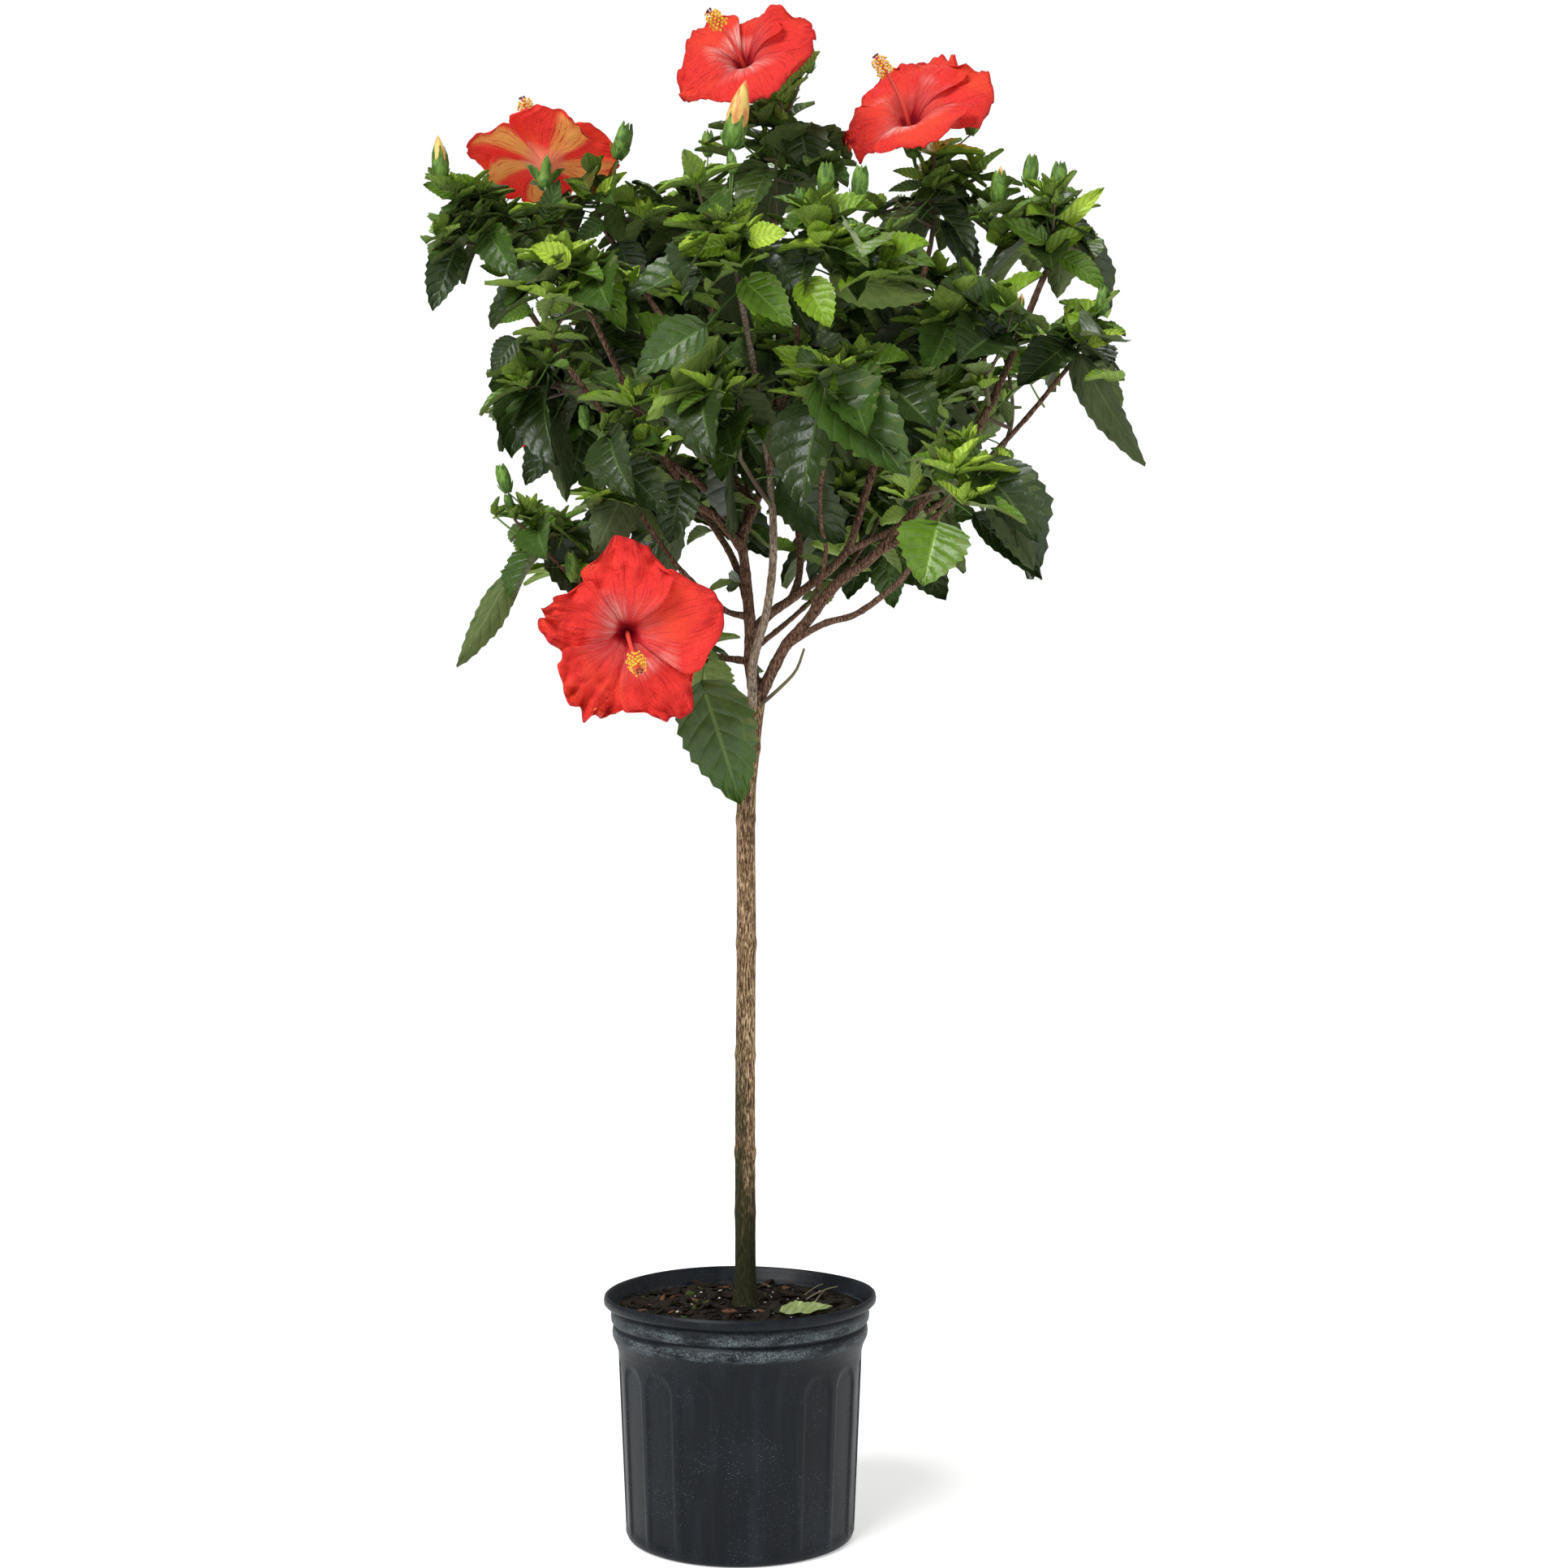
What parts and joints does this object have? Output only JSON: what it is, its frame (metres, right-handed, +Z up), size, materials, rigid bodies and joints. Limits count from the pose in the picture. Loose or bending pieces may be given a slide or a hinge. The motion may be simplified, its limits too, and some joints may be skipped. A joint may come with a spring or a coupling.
{
  "type": "hibiscus standard tree in a nursery pot",
  "caption": "Flowering hibiscus trained as a small standard tree: bare upright trunk, open rounded leafy crown with large red blooms, standing in a round plastic nursery pot of soil.",
  "frame": {"origin": "middle of the pot's flat underside", "axes": "+Z up along the trunk, -Y towards the plant's front, +X to the right of someone who looks at that front"},
  "size_m": [0.6654, 0.5719, 1.4225],
  "materials": {
    "pot_plastic": "moulded charcoal plastic with fine pale specks and chalky scuffs on its bands",
    "potting_mix": "damp dark bark and peat mix with chips, perlite and a little moss",
    "bark": "grey-brown bark with fine scaly upright ridges, darker and redder on the boughs",
    "foliage": "glossy dark green toothed leaves, with bright green young leaves and buds",
    "petals": "soft ruffled red-orange petals with a deep red throat"
  },
  "bodies": {
    "root": {"pot": "pot_plastic", "potting_soil": "potting_mix", "bough_back": "bark", "bough_back_left": "bark", "bough_back_low_right": "bark", "bough_back_right": "bark", "bough_back_top": "bark", "bough_front": "bark", "bough_front_fork": "bark", "bough_inner_left": "bark", "bough_left": "bark", "bough_left_front": "bark", "bough_low_left": "bark", "bough_low_right": "bark", "bough_right": "bark", "bough_right_inner": "bark", "bough_right_lower": "bark", "bough_right_upper": "bark", "bough_top": "bark", "bough_upper_left": "bark", "leader": "bark", "trunk": "bark", "leaves_back": "foliage", "leaves_back_left": "foliage", "leaves_back_low_left": "foliage", "leaves_back_low_right": "foliage", "leaves_back_right": "foliage", "leaves_back_top": "foliage", "leaves_back_upper_right": "foliage", "leaves_far_left": "foliage", "leaves_far_right": "foliage", "leaves_front": "foliage", "leaves_front_fork": "foliage", "leaves_front_low": "foliage", "leaves_heart": "foliage", "leaves_inner_left": "foliage", "leaves_left": "foliage", "leaves_left_front": "foliage", "leaves_low_front": "foliage", "leaves_low_left": "foliage", "leaves_low_right": "foliage", "leaves_right": "foliage", "leaves_right_inner": "foliage", "leaves_right_lower": "foliage", "leaves_right_upper": "foliage", "leaves_top": "foliage", "leaves_upper_left": "foliage", "bloom_back_left": "petals", "bloom_back_right": "petals", "bloom_back_top": "petals", "bloom_left": "petals", "bloom_low_front": "petals", "bloom_right": "petals", "bloom_top": "petals"}
  },
  "joints": []
}
